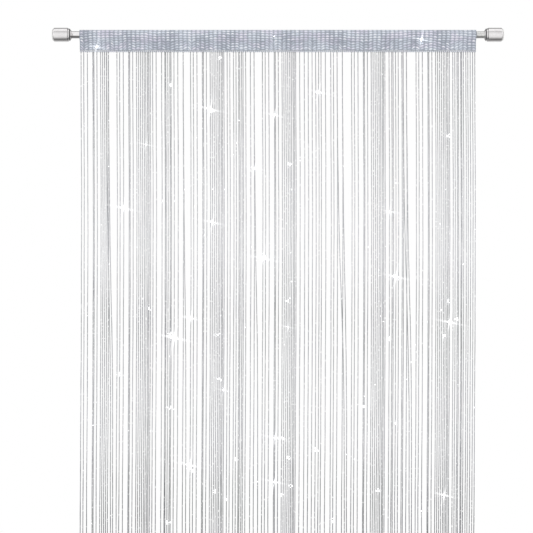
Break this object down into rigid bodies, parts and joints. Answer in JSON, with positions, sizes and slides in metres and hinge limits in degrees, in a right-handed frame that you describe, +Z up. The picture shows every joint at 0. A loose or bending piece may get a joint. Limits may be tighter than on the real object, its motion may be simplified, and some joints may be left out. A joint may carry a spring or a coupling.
{
  "type": "string door curtain on a tension rod",
  "caption": "Silver-grey string curtain for a doorway: fine strings hang from a ribbed knitted header on a round metal tension rod with capped ends.",
  "frame": {"origin": "middle of the flat left end of the rod, where it presses on the door frame", "axes": "+X along the rod to its right end, +Z up, -Y towards the front"},
  "size_m": [1.025, 0.0314, 2.0041],
  "materials": {
    "soft_pad": "pale, matt and soft",
    "satin_metal": "satin, smooth",
    "rod_metal": "satin, smooth",
    "thread_metal": "fine thread, zinc plated",
    "header_knit": "ribbed knit with glitter",
    "string_yarn": "twisted yarn with glitter"
  },
  "bodies": {
    "root": {"left_pad": "soft_pad", "left_cap": "satin_metal", "rod": "rod_metal", "spindle": "thread_metal", "right_cap": "satin_metal", "right_pad": "soft_pad", "header": "header_knit", "string_fringe": "string_yarn"}
  },
  "joints": []
}
